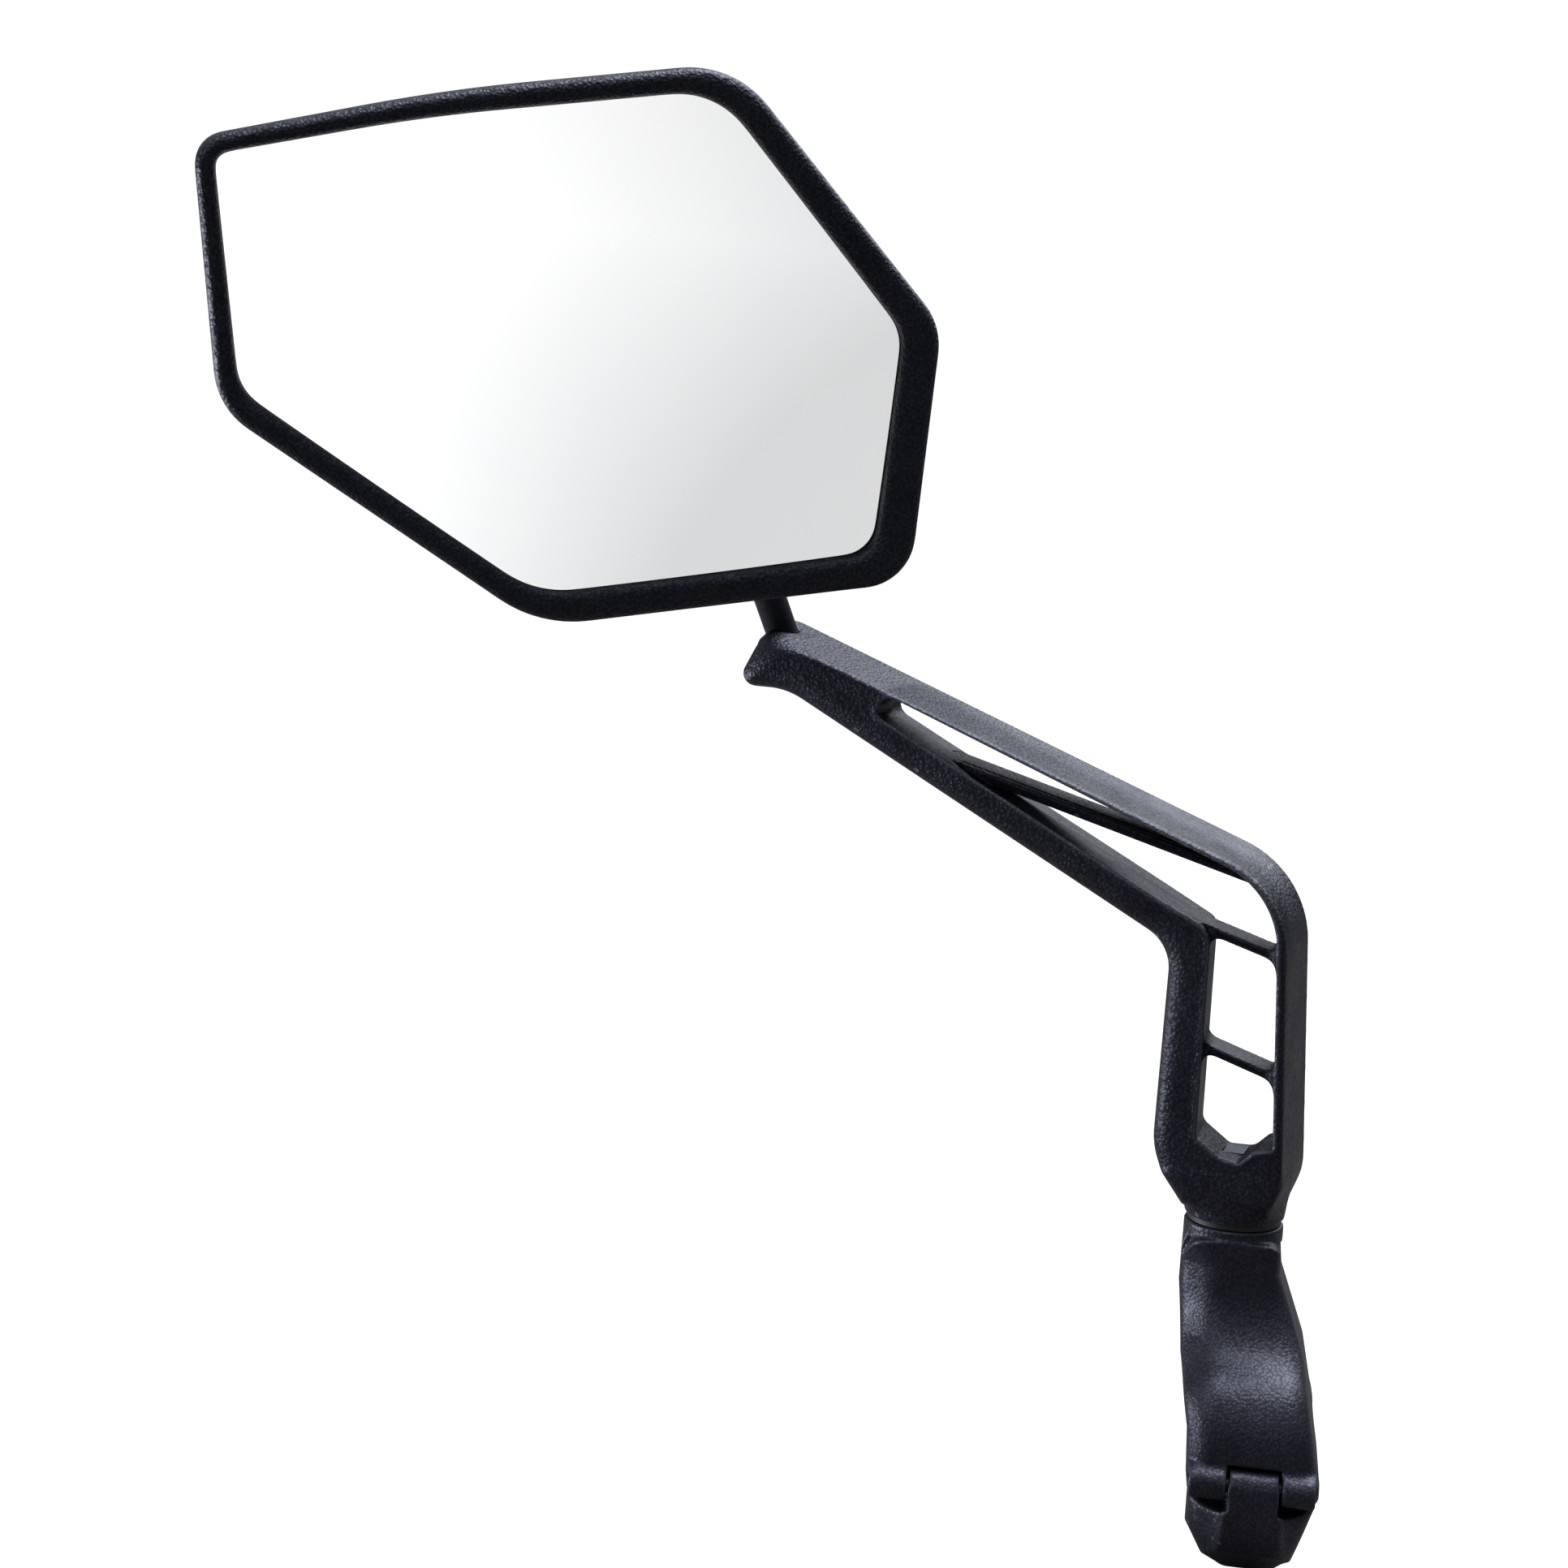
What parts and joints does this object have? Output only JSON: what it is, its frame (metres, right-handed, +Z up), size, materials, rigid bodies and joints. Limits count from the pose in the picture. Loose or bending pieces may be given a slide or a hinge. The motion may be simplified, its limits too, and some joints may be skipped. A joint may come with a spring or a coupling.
{
  "type": "bike mirror",
  "caption": "handlebar mirror with a hinged bar clamp, a swivelling openwork arm and a six-sided convex mirror head on a ball joint",
  "frame": {"origin": "on the handlebar axis, at the middle of the clamp's width", "axes": "+X along the handlebar towards its end, +Z up, -Y towards the rider"},
  "size_m": [0.1915, 0.0845, 0.2493],
  "materials": {
    "clamp_plastic": "fine grained moulded nylon",
    "arm_plastic": "fine grained moulded nylon",
    "head_plastic": "fine grained moulded nylon",
    "rubber": "smooth black rubber",
    "steel": "zinc plated steel",
    "black_steel": "black coated steel",
    "black_nylon": "black nylon",
    "insert_metal": "black coated insert",
    "mirror": "silvered convex glass",
    "foam": "black adhesive foam"
  },
  "bodies": {
    "root": {"clamp_body": "clamp_plastic", "clamp_liner_upper": "rubber", "hinge_pin": "black_steel", "clamp_nut": "steel", "friction_washer": "black_nylon", "pivot_washer": "steel", "pivot_spring": "steel"},
    "jaw": {"clamp_jaw": "clamp_plastic", "clamp_liner_lower": "rubber", "clamp_washer": "steel"},
    "clamp_bolt": {"clamp_screw": "steel"},
    "arm_body": {"arm": "arm_plastic", "pivot_insert": "insert_metal", "pivot_screw": "steel"},
    "stem": {"ball_stem": "black_steel", "stem_washer": "steel", "stem_screw": "steel"},
    "seat": {"seat_front": "black_nylon", "seat_rear": "black_nylon"},
    "head": {"seat_spring": "steel", "rear_shell": "head_plastic", "ball_retainer": "head_plastic", "retainer_screws": "steel", "backing_plate": "head_plastic", "glass_pad": "foam", "mirror_glass": "mirror", "bezel": "head_plastic"}
  },
  "joints": [
    {"name": "jaw_hinge", "type": "hinge", "parent": "root", "child": "jaw", "pos_m": [0, -0.0178, 0.003], "axis": [-1, 0, 0], "range_deg": [0, 85]},
    {"name": "clamp_screw_turn", "type": "hinge", "parent": "jaw", "child": "clamp_bolt", "pos_m": [0, 0.0217, -0.008], "axis": [0, 0, 1], "continuous": true},
    {"name": "arm_swivel", "type": "hinge", "parent": "root", "child": "arm_body", "pos_m": [-0.0063, 0.008, 0.042], "axis": [0, 0, 1], "continuous": true},
    {"name": "head_turn", "type": "hinge", "parent": "arm_body", "child": "stem", "pos_m": [-0.10337, -0.00029, 0.1705], "axis": [-0.2123, -0.5704, 0.7935], "range_deg": [-40, 40]},
    {"name": "head_tilt", "type": "hinge", "parent": "stem", "child": "seat", "pos_m": [-0.10337, -0.00029, 0.1705], "axis": [0.8592, 0.283, 0.4263], "range_deg": [-14, 10]},
    {"name": "head_roll", "type": "hinge", "parent": "seat", "child": "head", "pos_m": [-0.10337, -0.00029, 0.1705], "axis": [0.3848, -0.9065, -0.1736], "range_deg": [-12, 12]}
  ]
}
